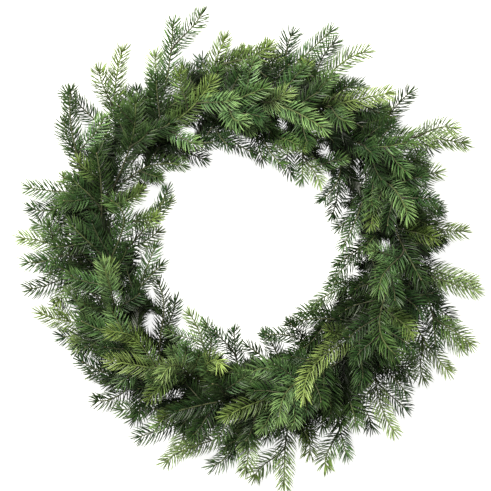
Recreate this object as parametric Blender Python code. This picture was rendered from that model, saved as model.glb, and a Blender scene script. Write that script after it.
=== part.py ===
"""Evergreen wreath of fresh fir cuttings clamped to a round wire frame, lying on its back.

Units are metres. +Z is the front of the wreath, the origin is the centre of its frame on the table,
and angles round the wreath are in degrees anticlockwise from +X as seen from the front. The cuttings
are laid clockwise: each bunch hides the clamp and the cut ends of the bunch before it.
"""

import math

import bmesh
import bpy
import numpy as np

# Wire frame: a six-sided wire in a ring of straight stretches. A clamp's profile is half of its bent
# wire, as (outwards from the ring, up from the ring's middle).
RING_RADIUS = 0.190
RING_SEGMENTS = 36
WIRE_THICKNESS = 0.005
RING_CORNER = WIRE_THICKNESS / math.sqrt(3.0)
CLAMP_WIRE = 0.0014
CLAMP_REACH = 0.0011
CLAMP_PROFILE = [(0.0020, -0.0005), (0.0072, 0.0003), (0.0038, 0.0065)]

# Stems and side twigs
STEM_RADIUS = 0.0016
TWIG_RADIUS = 0.0011
ROOT_RADIUS = 0.0005
TIP_RADIUS = 0.0008
ROOT_LENGTH = 0.006
TIP_STUB = 0.002
STEM_BENDS = np.array([0.0, 0.018])
STEM_BARE = 0.042
TWIG_BARE = 0.013
SEAT_GAP = 0.0004
BOUND_ANGLE = 4.0

# Their curves: how far the handles reach at each end, as shares of the way, and a tip's rise over it
STEM_LEAVE = 0.32
STEM_ARRIVE = 0.38
TWIG_LEAVE = 0.22
TWIG_ARRIVE = 0.35
TIP_RISE = 0.05
PATH_POINTS = 40
PAST_CLAMP = 12
HALF_STEP = 0.002
TINY = 1e-18
WELD_DISTANCE = 1e-6

# Where a side twig forks off its stem
FORK_ANGLE = 42.0
FORK_SHARES = np.linspace(0.34, 0.80, 24)
SHORTEST_TWIG = 0.055
DEGREES_PER_METRE = 4000.0

# A twig is raised or lowered by these steps until it clears the other cuttings.
TWIG_GAP = 0.0055
TWIG_STEP = 0.003
TWIG_STEPS = [0, 1, -1, 2, -2, 3, -3, 4, -4, 5, -5, 6, -6, 7, 8, 9, 10]
LOWEST_TWIG = 0.006

# Needles: they vary by a turn round the twig, a lean from it and a share of their length. To stand
# clear, each tries the listed turns, leans and shares in order.
NEEDLE_LENGTH = 0.0190
END_NEEDLE = 0.011
NEEDLE_ROOT = 0.0030
NEEDLE_RADIUS = 0.0012
WHORL_SPACING = 0.0240
NEEDLE_SPREAD = 30.0
NEAR_LEAN = 54.0
FAR_LEAN = 40.0
TIP_LEAN = 30.0
NEEDLE_VARIES = np.array([6.0, 5.0, 0.07])
NEEDLE_TRIES = [
    (turn, lean, share)
    for share in (1.0, 0.85, 0.7)
    for lean in (0.0, -10.0, 8.0)
    for turn in (0.0, 12.0, -12.0, 24.0, -24.0)
]
NEEDLE_GAP = 0.0004
LOWEST_NEEDLE = 0.0010
SEED = 20

# Looks, as colour, roughness and metallic value
WIRE_LOOK = ((0.10, 0.16, 0.10), 0.45, 0.6)
FOLIAGE_LOOKS = {
    "outer": ((0.035, 0.085, 0.020), 0.55, 0.0),
    "front": ((0.070, 0.150, 0.040), 0.55, 0.0),
    "inner": ((0.045, 0.105, 0.030), 0.55, 0.0),
}

# Where a bunch's three stems lie in their clamp: how far round the wire from its top, outwards
# positive, and how far each turns outwards and upwards as it leaves the clamp, all in degrees
SLOTS = {
    "outer": {"round_wire": 60.0, "turn": 6.0, "rise": 8.0},
    "front": {"round_wire": 0.0, "turn": 0.0, "rise": 30.0},
    "inner": {"round_wire": -60.0, "turn": -16.0, "rise": 10.0},
}

# The cuttings of each bunch, by the angle of its clamp. A cutting is a list of its twigs' tips, the
# main stem first, each as (reach, round, height, lean): the distance from the wreath's axis, the angle
# round the wreath, the height above the table, and how far the last stretch turns from straight
# outwards towards the clockwise way.
BUNCHES = {
    160: {
        "outer": [(0.300, 122, 0.040, 51), (0.308, 139, 0.020, 3), (0.254, 150, 0.012, 50)],
        "front": [(0.235, 127, 0.065, 35), (0.195, 130, 0.085, 70)],
        "inner": [(0.135, 127, 0.050, 140), (0.146, 141, 0.025, 180)],
    },
    140: {
        "outer": [(0.305, 108, 0.035, 22), (0.306, 101, 0.050, 35), (0.277, 115, 0.015, 42)],
        "front": [(0.218, 102, 0.080, 40), (0.245, 118, 0.055, 30)],
        "inner": [(0.145, 100, 0.050, 79), (0.128, 115, 0.025, 130)],
    },
    120: {
        "outer": [(0.272, 96, 0.030, 30), (0.255, 90, 0.014, 20), (0.262, 84, 0.045, 30)],
        "front": [(0.205, 84, 0.090, 60), (0.162, 92, 0.110, 80)],
        "inner": [(0.125, 87, 0.040, 110), (0.134, 100, 0.065, 140)],
    },
    100: {
        "outer": [(0.300, 69, 0.035, 26), (0.283, 78, 0.025, 32), (0.262, 84, 0.010, 15)],
        "front": [(0.181, 58, 0.100, 92), (0.205, 76, 0.080, 30)],
        "inner": [(0.117, 68, 0.060, 110), (0.117, 80, 0.028, 150)],
    },
    80: {
        "outer": [(0.295, 59, 0.040, 50), (0.288, 67, 0.020, 35), (0.256, 55, 0.012, 45)],
        "front": [(0.267, 48, 0.070, 39), (0.248, 58, 0.055, 24), (0.205, 52, 0.090, 70)],
        "inner": [(0.114, 52, 0.040, 146), (0.126, 43, 0.065, 114)],
    },
    60: {
        "outer": [(0.309, 26, 0.040, 42), (0.290, 44, 0.022, 5), (0.272, 29, 0.014, 50)],
        "front": [(0.244, 34, 0.085, 16), (0.200, 37, 0.100, 70)],
        "inner": [(0.115, 34, 0.060, 180), (0.118, 22, 0.030, 130)],
    },
    40: {
        "outer": [(0.278, 5, 0.030, 0), (0.265, 22, 0.015, 27), (0.250, 12, 0.042, 59)],
        "front": [(0.207, 12, 0.090, 88), (0.240, 20, 0.060, 40)],
        "inner": [(0.120, 14, 0.035, 170), (0.122, 2, 0.060, 120)],
    },
    20: {
        "outer": [(0.271, 333, 0.035, 62), (0.292, 352, 0.022, 3), (0.309, 337, 0.042, 32)],
        "front": [(0.225, 350, 0.075, 50), (0.175, 343, 0.105, 61)],
        "inner": [(0.116, 351, 0.055, 134), (0.118, 342, 0.025, 110)],
    },
    0: {
        "outer": [(0.300, 329, 0.030, 18), (0.281, 324, 0.018, 17), (0.278, 341, 0.014, 40)],
        "front": [(0.230, 325, 0.090, 0), (0.235, 340, 0.060, 40)],
        "inner": [(0.111, 322, 0.040, 100), (0.115, 337, 0.065, 130)],
    },
    340: {
        "outer": [(0.299, 309, 0.030, 5), (0.287, 315, 0.018, 0), (0.265, 322, 0.012, 30)],
        "front": [(0.198, 291, 0.095, 22), (0.220, 312, 0.070, 40)],
        "inner": [(0.109, 302, 0.060, 103), (0.113, 318, 0.025, 130)],
    },
    320: {
        "outer": [(0.290, 296, 0.030, 7), (0.278, 305, 0.018, 35), (0.294, 290, 0.038, 4)],
        "front": [(0.215, 281, 0.110, 10), (0.156, 272, 0.085, 41), (0.235, 297, 0.060, 30)],
        "inner": [(0.112, 283, 0.045, 88), (0.107, 300, 0.065, 150)],
    },
    300: {
        "outer": [(0.305, 279, 0.025, 9), (0.272, 287, 0.040, 34), (0.291, 272, 0.015, 20)],
        "front": [(0.212, 263, 0.070, 55), (0.240, 276, 0.050, 30)],
        "inner": [(0.122, 270, 0.055, 120), (0.109, 282, 0.025, 150)],
    },
    280: {
        "outer": [(0.280, 261, 0.025, 65), (0.262, 266, 0.012, 30), (0.270, 252, 0.040, 50)],
        "front": [(0.225, 246, 0.065, 50), (0.175, 255, 0.090, 70)],
        "inner": [(0.105, 261, 0.040, 170), (0.112, 248, 0.060, 110)],
    },
    260: {
        "outer": [(0.291, 249, 0.030, 38), (0.262, 254, 0.012, 20), (0.277, 240, 0.020, 41)],
        "front": [(0.190, 236, 0.100, 0), (0.150, 257, 0.085, -30), (0.222, 219, 0.075, 52)],
        "inner": [(0.107, 240, 0.060, 110), (0.110, 228, 0.030, 100)],
    },
    240: {
        "outer": [(0.273, 225, 0.022, 58), (0.255, 214, 0.038, 65), (0.262, 236, 0.012, 30)],
        "front": [(0.200, 211, 0.090, 31), (0.230, 203, 0.060, 50)],
        "inner": [(0.121, 200, 0.045, 81), (0.112, 215, 0.022, 130)],
    },
    220: {
        "outer": [(0.276, 197, 0.030, 45), (0.262, 205, 0.014, 40), (0.250, 208, 0.040, 50)],
        "front": [(0.182, 186, 0.100, 75), (0.218, 192, 0.070, 40)],
        "inner": [(0.110, 190, 0.055, 150), (0.118, 178, 0.025, 110)],
    },
    200: {
        "outer": [(0.289, 177, 0.035, 0), (0.284, 190, 0.022, 13), (0.265, 183, 0.012, 10)],
        "front": [(0.184, 160, 0.080, 5), (0.225, 172, 0.060, 40)],
        "inner": [(0.127, 143, 0.060, 69), (0.116, 168, 0.028, 120)],
    },
    180: {
        "outer": [(0.303, 138, 0.045, 54), (0.291, 164, 0.030, 0), (0.282, 169, 0.014, 23)],
        "front": [(0.228, 147, 0.065, 45), (0.240, 158, 0.050, 20)],
        "inner": [(0.118, 148, 0.035, 90), (0.122, 160, 0.060, 130)],
    },
}


def unit(vectors):
    return vectors / np.linalg.norm(vectors, axis=-1, keepdims=True)


def at(reach, degrees, height):
    """The point at this distance from the axis, angle round the wreath and height."""
    angle = math.radians(degrees)
    return np.array([reach * math.cos(angle), reach * math.sin(angle), height])


def heading(degrees, lean):
    """A level direction at this angle round the wreath, turned by lean from outwards to clockwise."""
    return at(1.0, degrees - lean, 0.0)


def bezier(start, leave, arrive, end, count):
    t = np.linspace(0.0, 1.0, count)[:, None]
    early = (1 - t) ** 3 * start + 3 * (1 - t) ** 2 * t * leave
    return early + 3 * (1 - t) * t**2 * arrive + t**3 * end


def lengths(path):
    return np.concatenate([[0.0], np.cumsum(np.linalg.norm(np.diff(path, axis=0), axis=1))])


def read_path(path, distances):
    along = lengths(path)
    return np.stack([np.interp(distances, along, path[:, axis]) for axis in range(3)], axis=-1)


def places(path, distances):
    """The points, the directions and the upward normals at these distances along a path."""
    ahead = np.minimum(distances + HALF_STEP, lengths(path)[-1])
    behind = np.maximum(distances - HALF_STEP, 0.0)
    tangents = unit(read_path(path, ahead) - read_path(path, behind))
    up = np.array([0.0, 0.0, 1.0])
    normals = unit(up - tangents * (tangents @ up)[:, None])
    return read_path(path, distances), tangents, normals


def segments(points, start_radius, end_radius):
    """A path's stretches as starts, ends and the radius at both ends of each."""
    radii = np.linspace(start_radius, end_radius, len(points))
    return points[:-1], points[1:], np.stack([radii[:-1], radii[1:]], axis=-1)


def joined(groups):
    empty = [tuple(np.zeros((0, width)) for width in (3, 3, 2))]
    return tuple(np.concatenate([group[column] for group in empty + groups]) for column in range(3))


def near(others, own, margin):
    """Those of the other segments that reach into the box round these."""
    starts, ends, radii = others
    low = np.minimum(own[0], own[1]).min(axis=0) - margin
    high = np.maximum(own[0], own[1]).max(axis=0) + margin
    inside = ((np.minimum(starts, ends) < high) & (np.maximum(starts, ends) > low)).all(axis=1)
    return starts[inside], ends[inside], radii[inside]


def gaps(own, others):
    """The clear distance from each tapering segment to the nearest of the others."""
    starts, ends, radii = own
    other_starts, other_ends, other_radii = others
    if len(other_starts) == 0:
        return np.full(len(starts), np.inf)
    first = (ends - starts)[:, None, :]
    second = (other_ends - other_starts)[None, :, :]
    between = starts[:, None, :] - other_starts[None, :, :]
    first_square = (first * first).sum(-1)
    second_square = (second * second).sum(-1)
    product = (first * second).sum(-1)
    first_part = (first * between).sum(-1)
    second_part = (second * between).sum(-1)
    spread = np.maximum(first_square * second_square - product**2, TINY)
    share = np.clip((product * second_part - first_part * second_square) / spread, 0.0, 1.0)
    other_share = np.clip((product * share + second_part) / second_square, 0.0, 1.0)
    share = np.clip((product * other_share - first_part) / first_square, 0.0, 1.0)
    apart = np.linalg.norm(between + share[..., None] * first - other_share[..., None] * second, axis=-1)
    radius = radii[:, None, 0] * (1 - share) + radii[:, None, 1] * share
    other_radius = other_radii[None, :, 0] * (1 - other_share) + other_radii[None, :, 1] * other_share
    return (apart - radius - other_radius).min(axis=1)


def ring_reach(degrees):
    """The distance of the ring's middle line, a polygon, from the wreath's axis."""
    half = math.pi / RING_SEGMENTS
    angle = math.radians(degrees) % (2 * half)
    return RING_RADIUS * math.cos(half) / math.cos(angle - half)


def seat(degrees, slot):
    """The middle of a stem that lies in a clamp."""
    angle = math.radians(slot["round_wire"])
    off = WIRE_THICKNESS / 2 + SEAT_GAP + STEM_RADIUS
    height = WIRE_THICKNESS / 2 + off * math.cos(angle)
    return at(ring_reach(degrees) + off * math.sin(angle), degrees, height)


def stem_path(clamp, slot, tip, lift):
    """A main stem: along the ring through its clamp, then one smooth curve to its tip."""
    reach, degrees, height, lean = tip
    bound = [seat(clamp + turn, slot) for turn in (BOUND_ANGLE, 0.0, -BOUND_ANGLE)]
    start = bound[-1]
    end = at(reach, degrees, max(height + lift, LOWEST_TWIG))
    away = np.linalg.norm(end - start)
    leaving = heading(clamp - BOUND_ANGLE, 90.0 - slot["turn"])
    leaving[2] = math.tan(math.radians(slot["rise"]))
    leave = start + STEM_LEAVE * away * unit(leaving)
    arrive = end - STEM_ARRIVE * away * heading(degrees, lean)
    arrive[2] = max(end[2] - TIP_RISE * away, 2 * LOWEST_TWIG)
    return np.concatenate([bound[:-1], bezier(start, leave, arrive, end, PATH_POINTS)])


def twig_path(stem, tip, lift):
    """A side twig: it leaves its stem forwards and bends to its own tip."""
    reach, degrees, height, lean = tip
    points, tangents, _ = places(stem, np.array([fork_share(stem, tip) * lengths(stem)[-1]]))
    end = at(reach, degrees, max(height + lift, LOWEST_TWIG))
    away = np.linalg.norm(end - points[0])
    leave = points[0] + TWIG_LEAVE * away * tangents[0]
    arrive = end - TWIG_ARRIVE * away * heading(degrees, lean)
    arrive[2] = max(end[2] - TIP_RISE * away, LOWEST_TWIG)
    return bezier(points[0], leave, arrive, end, PATH_POINTS)


def fork_share(stem, tip):
    """How far along its stem a twig forks off, to set out at about FORK_ANGLE and not be too short."""
    points, tangents, _ = places(stem, FORK_SHARES * lengths(stem)[-1])
    towards = at(*tip[:3]) - points
    away = np.linalg.norm(towards, axis=1)
    angles = np.degrees(np.arccos(np.clip((towards * tangents).sum(axis=1) / away, -1.0, 1.0)))
    too_short = np.maximum(SHORTEST_TWIG - away, 0.0)
    return FORK_SHARES[np.argmin(np.abs(angles - FORK_ANGLE) + DEGREES_PER_METRE * too_short)]


def clearest(tries, laid, key, frame, skipped):
    """The first path that stands clear of the other cuttings and the frame, or else the clearest."""
    others = joined([group for other, group in laid if other != key])
    best_gap = -math.inf
    for path in tries:
        own = segments(path, 0.0, 0.0)
        past_clamp = tuple(column[skipped:] for column in own)
        gap = min(gaps(own, others).min(), gaps(past_clamp, frame).min() + STEM_RADIUS)
        if gap > best_gap:
            best_path, best_gap = path, gap
        if best_gap > TWIG_GAP:
            break
    laid.append((key, segments(best_path, 0.0, 0.0)))
    return best_path


def lay_out():
    """The paths of each cutting's twigs, the main stem first, each bent clear of those before it."""
    frame = frame_segments()
    cuttings = []
    for clamp, bunch in BUNCHES.items():
        cuttings += [(clamp, place, tips) for place, tips in bunch.items()]
    lifts = [TWIG_STEP * step for step in TWIG_STEPS]
    paths = {}
    laid = []
    for clamp, place, tips in cuttings:
        tries = [stem_path(clamp, SLOTS[place], tips[0], lift) for lift in lifts]
        paths[clamp, place] = [clearest(tries, laid, (clamp, place), frame, PAST_CLAMP)]
    for clamp, place, tips in cuttings:
        for tip in tips[1:]:
            tries = [twig_path(paths[clamp, place][0], tip, lift) for lift in lifts]
            paths[clamp, place].append(clearest(tries, laid, (clamp, place), frame, 0))
    return paths


class Twig:
    """A three-sided tapering stem along a path, with whorls of six needles drawn out of its faces.

    Its sections stand at marks along the path. Between a mark in whorls and the next, the two triangles
    of each of the three faces are drawn out into needles, leaning apart by NEEDLE_SPREAD to either side.
    """

    def __init__(self, path, bends, bare, radii, roll):
        length = lengths(path)[-1]
        last = length - NEEDLE_ROOT - TIP_STUB
        count = max(2, round((last - bare) / WHORL_SPACING) + 1)
        starts = np.linspace(bare, last, count)
        bends = [bend for bend in bends if bend < starts[0] - TIP_STUB]
        marks = np.sort(np.concatenate([[0.0], bends, starts, starts + NEEDLE_ROOT, [length]]))
        self.whorls = np.flatnonzero(np.isin(marks, starts))
        self.points, self.tangents, self.normals = places(path, marks)
        self.sides = np.cross(self.tangents, self.normals)
        self.roll = roll
        self.radii = np.interp(marks, [0.0, ROOT_LENGTH, length], [*radii, TIP_RADIUS])
        turns = np.radians(roll + np.array([60.0, 180.0, 300.0]))[None, :, None]
        around = np.cos(turns) * self.normals[:, None, :] + np.sin(turns) * self.sides[:, None, :]
        self.corners = self.points[:, None, :] + self.radii[:, None, None] * around
        self.end = self.points[-1] + END_NEEDLE * self.tangents[-1]
        self.needles = {}

    def core(self):
        """The bare twig and the needle that ends it, as segments."""
        points, radii = self.points, self.radii
        bare = (points[:-1], points[1:], np.stack([radii[:-1], radii[1:]], axis=-1))
        return joined([bare, (points[-1:], self.end[None, :], np.array([[TIP_RADIUS, 0.0]]))])

    def tries(self, whorl, face, half, rng):
        """The base of one needle and the ends that it may have, the wanted one first."""
        lower, upper = self.corners[whorl], self.corners[whorl + 1]
        after = (face + 1) % 3
        corner = upper[after] if half else lower[face]
        base = np.mean([corner, lower[after], upper[face]], axis=0)
        turn = self.roll + 120.0 * (face + 1) + (NEEDLE_SPREAD if half else -NEEDLE_SPREAD)
        lean = FAR_LEAN if half else NEAR_LEAN
        if half and whorl == self.whorls[-1]:
            lean = TIP_LEAN
        turn_by, lean_by, length_by = rng.uniform(-1.0, 1.0, 3) * NEEDLE_VARIES
        turns, leans, shares = np.array(NEEDLE_TRIES).T
        turns = np.radians(turn + turn_by + turns)[:, None]
        leans = np.radians(lean + lean_by + leans)[:, None]
        around = np.cos(turns) * self.normals[whorl] + np.sin(turns) * self.sides[whorl]
        directions = np.cos(leans) * self.tangents[whorl] + np.sin(leans) * around
        return base, base + NEEDLE_LENGTH * (1.0 + length_by) * shares[:, None] * directions

    def grow(self, others, rng):
        """Gives each needle the first end clear of the others, and leaves out those with no room."""
        before = joined([])
        for whorl in self.whorls:
            grown = []
            for face in range(3):
                for half in range(2):
                    base, ends = self.tries(whorl, face, half, rng)
                    bases = np.repeat(base[None, :], len(ends), axis=0)
                    own = (bases, ends, np.tile([NEEDLE_RADIUS, 0.0], (len(ends), 1)))
                    clear = (gaps(own, others) > NEEDLE_GAP) & (gaps(own, before) > NEEDLE_GAP / 2)
                    clear &= ends[:, 2] > LOWEST_NEEDLE
                    if clear.any():
                        choice = np.argmax(clear)
                        self.needles[whorl, face, half] = ends[choice]
                        grown.append(tuple(column[choice : choice + 1] for column in own))
            before = joined([before] + grown)
        return before

    def mesh(self, name):
        """The closed mesh: root cap, sides with their needles, and a last needle straight ahead."""
        vertices = [tuple(corner) for section in self.corners for corner in section]
        faces = [(2, 1, 0)]

        def add(patch, end):
            if end is None:
                faces.append(patch)
                return
            tip = len(vertices)
            vertices.append(tuple(end))
            faces.extend((patch[side], patch[(side + 1) % 3], tip) for side in range(3))

        for section in range(len(self.corners) - 1):
            for face in range(3):
                low, low_next = 3 * section + face, 3 * section + (face + 1) % 3
                high, high_next = low + 3, low_next + 3
                add((low, low_next, high), self.needles.get((section, face, 0)))
                add((low_next, high_next, high), self.needles.get((section, face, 1)))
        top = 3 * (len(self.corners) - 1)
        add((top, top + 1, top + 2), self.end)
        mesh = bpy.data.meshes.new(name)
        mesh.from_pydata(vertices, [], faces)
        mesh.update()
        return mesh


def cut_twigs(paths, roll):
    """The bare twigs of a cutting, its main stem first."""
    bound = lengths(paths[0][:3])[-1]
    bends = [bound / 2, *(bound + STEM_BENDS)]
    stem = Twig(paths[0], bends, bound + STEM_BARE, (STEM_RADIUS, STEM_RADIUS), roll)
    radii = (ROOT_RADIUS, TWIG_RADIUS)
    return [stem] + [Twig(path, [ROOT_LENGTH], TWIG_BARE, radii, 0.0) for path in paths[1:]]


def make_spray(name, twigs, others, parts, helpers, rng):
    """One cutting, its stem and side twigs joined in one solid, and its needles as segments."""
    grown = joined([])
    for index, twig in enumerate(twigs):
        siblings = [other.core() for other in twigs if other is not twig]
        grown = joined([grown, twig.grow(joined([others, grown] + siblings), rng)])
        item = bpy.data.objects.new(f"{name}_twig_{index}" if index else name, twig.mesh(name))
        (helpers if index else parts).objects.link(item)
    spray = parts.objects[name]
    union(spray, helpers)
    return spray, grown


def clamp_points(degrees):
    """A clamp's wire, from one side of the ring over the three stems to its other side."""
    profile = CLAMP_PROFILE + [(-across, up) for across, up in reversed(CLAMP_PROFILE)]
    middle = WIRE_THICKNESS / 2
    return np.array([at(ring_reach(degrees) + across, degrees, middle + up) for across, up in profile])


def frame_segments():
    """The frame as segments, for what grows round it."""
    angles = np.linspace(0.0, 360.0, RING_SEGMENTS + 1)
    ring = np.array([at(RING_RADIUS, degrees, WIRE_THICKNESS / 2) for degrees in angles])
    clamps = [segments(clamp_points(degrees), CLAMP_REACH, CLAMP_REACH) for degrees in BUNCHES]
    return joined([segments(ring, RING_CORNER, RING_CORNER)] + clamps)


def make_frame(parts, helpers):
    """The ring, a six-sided wire that lies on a flat, with a bent wire clamp over it for each bunch."""
    bpy.ops.mesh.primitive_torus_add(
        major_segments=RING_SEGMENTS,
        minor_segments=6,
        major_radius=RING_RADIUS,
        minor_radius=RING_CORNER,
        location=(0.0, 0.0, WIRE_THICKNESS / 2),
    )
    ring = bpy.context.object
    ring.name = "wire_frame"
    for collection in list(ring.users_collection):
        collection.objects.unlink(ring)
    parts.objects.link(ring)
    for degrees in BUNCHES:
        add_wire(f"clamp_{degrees}", clamp_points(degrees), helpers)
    union(ring, helpers)
    return ring


def add_wire(name, points, collection):
    """A closed mesh of a bent square wire, made from a bevelled curve, its loose caps welded on."""
    curve = bpy.data.curves.new(name, "CURVE")
    curve.dimensions = "3D"
    curve.bevel_depth = CLAMP_WIRE / math.sqrt(2.0)
    curve.bevel_resolution = 0
    curve.use_fill_caps = True
    spline = curve.splines.new("POLY")
    spline.points.add(len(points) - 1)
    spline.points.foreach_set("co", np.column_stack([points, np.ones(len(points))]).ravel())
    guide = bpy.data.objects.new(name, curve)
    collection.objects.link(guide)
    graph = bpy.context.evaluated_depsgraph_get()
    mesh = bpy.data.meshes.new_from_object(guide.evaluated_get(graph))
    bpy.data.objects.remove(guide)
    bpy.data.curves.remove(curve)
    shape = bmesh.new()
    shape.from_mesh(mesh)
    bmesh.ops.remove_doubles(shape, verts=shape.verts, dist=WELD_DISTANCE)
    bmesh.ops.recalc_face_normals(shape, faces=shape.faces)
    shape.to_mesh(mesh)
    shape.free()
    collection.objects.link(bpy.data.objects.new(name, mesh))


def union(item, helpers):
    """Joins the objects of the helper collection to this one, and removes them."""
    modifier = item.modifiers.new("Union", "BOOLEAN")
    modifier.operation = "UNION"
    modifier.operand_type = "COLLECTION"
    modifier.collection = helpers
    modifier.solver = "MANIFOLD"
    bpy.context.view_layer.update()
    graph = bpy.context.evaluated_depsgraph_get()
    mesh = bpy.data.meshes.new_from_object(item.evaluated_get(graph))
    item.modifiers.clear()
    item.data = mesh
    for helper in list(helpers.objects):
        bpy.data.objects.remove(helper)


def new_collection(name):
    collection = bpy.data.collections.new(name)
    bpy.context.scene.collection.children.link(collection)
    return collection


def finish(item, colour, roughness, metallic):
    """Gives a piece its own material."""
    made = bpy.data.materials.new(item.name)
    made.use_nodes = True
    shader = made.node_tree.nodes["Principled BSDF"]
    shader.inputs["Base Color"].default_value = (*colour, 1.0)
    shader.inputs["Roughness"].default_value = roughness
    shader.inputs["Metallic"].default_value = metallic
    item.data.materials.clear()
    item.data.materials.append(made)


def main():
    for item in list(bpy.data.objects):
        bpy.data.objects.remove(item)
    parts = new_collection("wreath")
    helpers = new_collection("joined_pieces")
    helpers.hide_render = True
    finish(make_frame(parts, helpers), *WIRE_LOOK)
    rng = np.random.default_rng(SEED)
    frame = frame_segments()
    cuttings = {key: cut_twigs(paths, SLOTS[key[1]]["round_wire"]) for key, paths in lay_out().items()}
    cores = {key: joined([twig.core() for twig in twigs]) for key, twigs in cuttings.items()}
    standing = joined([])
    for (clamp, place), twigs in cuttings.items():
        neighbours = [core for key, core in cores.items() if key != (clamp, place)]
        others = near(joined([frame, standing] + neighbours), cores[clamp, place], 2 * NEEDLE_LENGTH)
        name = f"spray_{list(BUNCHES).index(clamp) + 1:02d}_{place}"
        spray, needles = make_spray(name, twigs, others, parts, helpers, rng)
        finish(spray, *FOLIAGE_LOOKS[place])
        standing = joined([standing, needles])
    bpy.data.collections.remove(helpers)


main()
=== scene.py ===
"""The looks of an evergreen wreath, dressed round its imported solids: needles, bark, buds, wire and studio.

Units are metres. +Z is the front of the wreath, which lies on its back, and angles round the wreath are in
degrees anticlockwise from +X as seen from the front. The cuttings lie clockwise in their clamps. Their
twigs run on the same curves as the solids that they replace, and finer side twigs fill in between them.
"""

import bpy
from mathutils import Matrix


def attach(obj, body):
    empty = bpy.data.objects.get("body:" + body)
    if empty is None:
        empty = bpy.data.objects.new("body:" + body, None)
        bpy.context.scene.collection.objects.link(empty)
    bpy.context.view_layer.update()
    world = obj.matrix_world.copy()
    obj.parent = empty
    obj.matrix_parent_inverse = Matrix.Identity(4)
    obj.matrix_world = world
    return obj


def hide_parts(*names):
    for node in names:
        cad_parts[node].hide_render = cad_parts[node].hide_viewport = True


bl_info = {
    "name": "Evergreen Wreath",
    "version": (1, 0, 0),
    "blender": (4, 5, 0),
    "location": "3D View > Sidebar > Wreath",
    "description": "Dresses the solids of a fir wreath with needles, bark, buds and wire, and lights it",
    "category": "Object",
}

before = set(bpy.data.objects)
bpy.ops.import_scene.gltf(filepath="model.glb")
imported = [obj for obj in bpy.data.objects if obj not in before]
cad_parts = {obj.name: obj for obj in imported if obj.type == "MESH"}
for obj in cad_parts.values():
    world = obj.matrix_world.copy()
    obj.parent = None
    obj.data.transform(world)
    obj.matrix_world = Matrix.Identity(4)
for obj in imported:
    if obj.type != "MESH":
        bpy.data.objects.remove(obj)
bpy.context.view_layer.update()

import collections
import functools
import math

import bpy
import numpy as np
from bpy.props import FloatProperty, FloatVectorProperty, PointerProperty

BODY = "root"

# The wire frame: a clamp's profile is half of its bent wire, as (outwards from the ring, up from its
# middle)
RING_RADIUS = 0.190
RING_SEGMENTS = 36
WIRE_THICKNESS = 0.005
RING_CORNER = WIRE_THICKNESS / math.sqrt(3.0)
CLAMP_WIRE = 0.0014
CLAMP_REACH = 0.0011
CLAMP_PROFILE = [(0.0020, -0.0005), (0.0072, 0.0003), (0.0038, 0.0065)]
RING_GRID = (216, 16)
CLAMP_GRID = (30, 8)
CLAMP_CUTS = 3

# Stems and side twigs, as the solids have them
STEM_RADIUS = 0.0016
SEAT_GAP = 0.0004
BOUND_ANGLE = 4.0
STEM_LEAVE = 0.32
STEM_ARRIVE = 0.38
TWIG_LEAVE = 0.22
TWIG_ARRIVE = 0.35
TIP_RISE = 0.05
PATH_POINTS = 40
PAST_CLAMP = 12
HALF_STEP = 0.002
TINY = 1e-18
FORK_ANGLE = 42.0
FORK_SHARES = np.linspace(0.34, 0.80, 24)
SHORTEST_TWIG = 0.055
DEGREES_PER_METRE = 4000.0
TWIG_GAP = 0.0055
TWIG_STEP = 0.003
TWIG_STEPS = [0, 1, -1, 2, -2, 3, -3, 4, -4, 5, -5, 6, -6, 7, 8, 9, 10]
LOWEST_TWIG = 0.006

# Bark: a stem's radius at its root and before its bud, and the bud's own profile, as (distance from its
# end, radius)
BARK_SIDES = 6
BARK_STEP = 0.006
BARK_RADII = {
    "stem": (0.0015, 0.0009),
    "twig": (0.0012, 0.0008),
    "filler": (0.0009, 0.0006),
    "under": (0.0008, 0.0005),
}
BUD_PROFILE = [(0.0030, 0.0008), (0.0022, 0.0012), (0.0012, 0.0010), (0.0004, 0.0005)]

# Fine side twigs that fill in between the main ones. Fillers show, and where they lie low their needles are
# coloured dark as painted shade; under twigs lie lower still and close the wreath's inside off with dense
# needles coloured near black as painted shade. Leave and arrive say over what share of its length a twig's
# curve bends, and how much its parent's direction is mixed in there.
FILLER_POINTS = 12
FILLER_SHORTEST = 0.026
FILLER_SHRINK = 0.85
FILLER_ANGLES = (34.0, 58.0)
FILLER_STARTS = (0.2, 1.0)
FILLER_VARIES = (0.85, 1.15)
FILLER_LEAVE = (0.25, 0.5)
FILLER_ARRIVE = (0.35, 0.7)
FILLER_LIFTS = [0.0, -0.005, 0.005, -0.010, 0.010, -0.015, 0.015, -0.022]
FILLER_TINTS = ["dark", "dark", "dark", "green", "green", "blue", "fresh"]
DEEP_SHADE_BELOW = 0.050
DEEP_SHADE_REACHES = (0.145, 0.232)
COARSE_STRETCHES = 10

# How both grow. Parents are the kinds of twig that carry them, with the shares of the usual spacing and
# length there. Start and end are the bare lengths of the parent, lengths are those of the first twig and the
# last, and rises are how steeply they may set out. Their tips stay within the reaches from the wreath's
# axis, by the cutting's place, and between the heights. A twig looks for the gap, and is left out where it
# has less than the least gap.
GROWTH = {
    "filler": {
        "parents": {"stem": (1.0, 1.0), "twig": (1.7, 0.72)},
        "start": 0.016,
        "end": 0.026,
        "lengths": (0.076, 0.044),
        "rises": (-0.45, 0.20),
        "reaches": {"outer": (0.160, 0.256), "front": (0.145, 0.246), "inner": (0.141, 0.225)},
        "heights": (0.009, 0.098),
        "gap": 0.0060,
        "least_gap": 0.0025,
    },
    "under": {
        "parents": {"stem": (0.85, 1.0)},
        "start": 0.004,
        "end": 0.040,
        "lengths": (0.085, 0.055),
        "rises": (-1.0, -0.10),
        "reaches": {"outer": (0.170, 0.232), "front": (0.155, 0.232), "inner": (0.147, 0.218)},
        "heights": (0.007, 0.040),
        "gap": 0.0040,
        "least_gap": 0.0012,
    },
}

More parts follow.
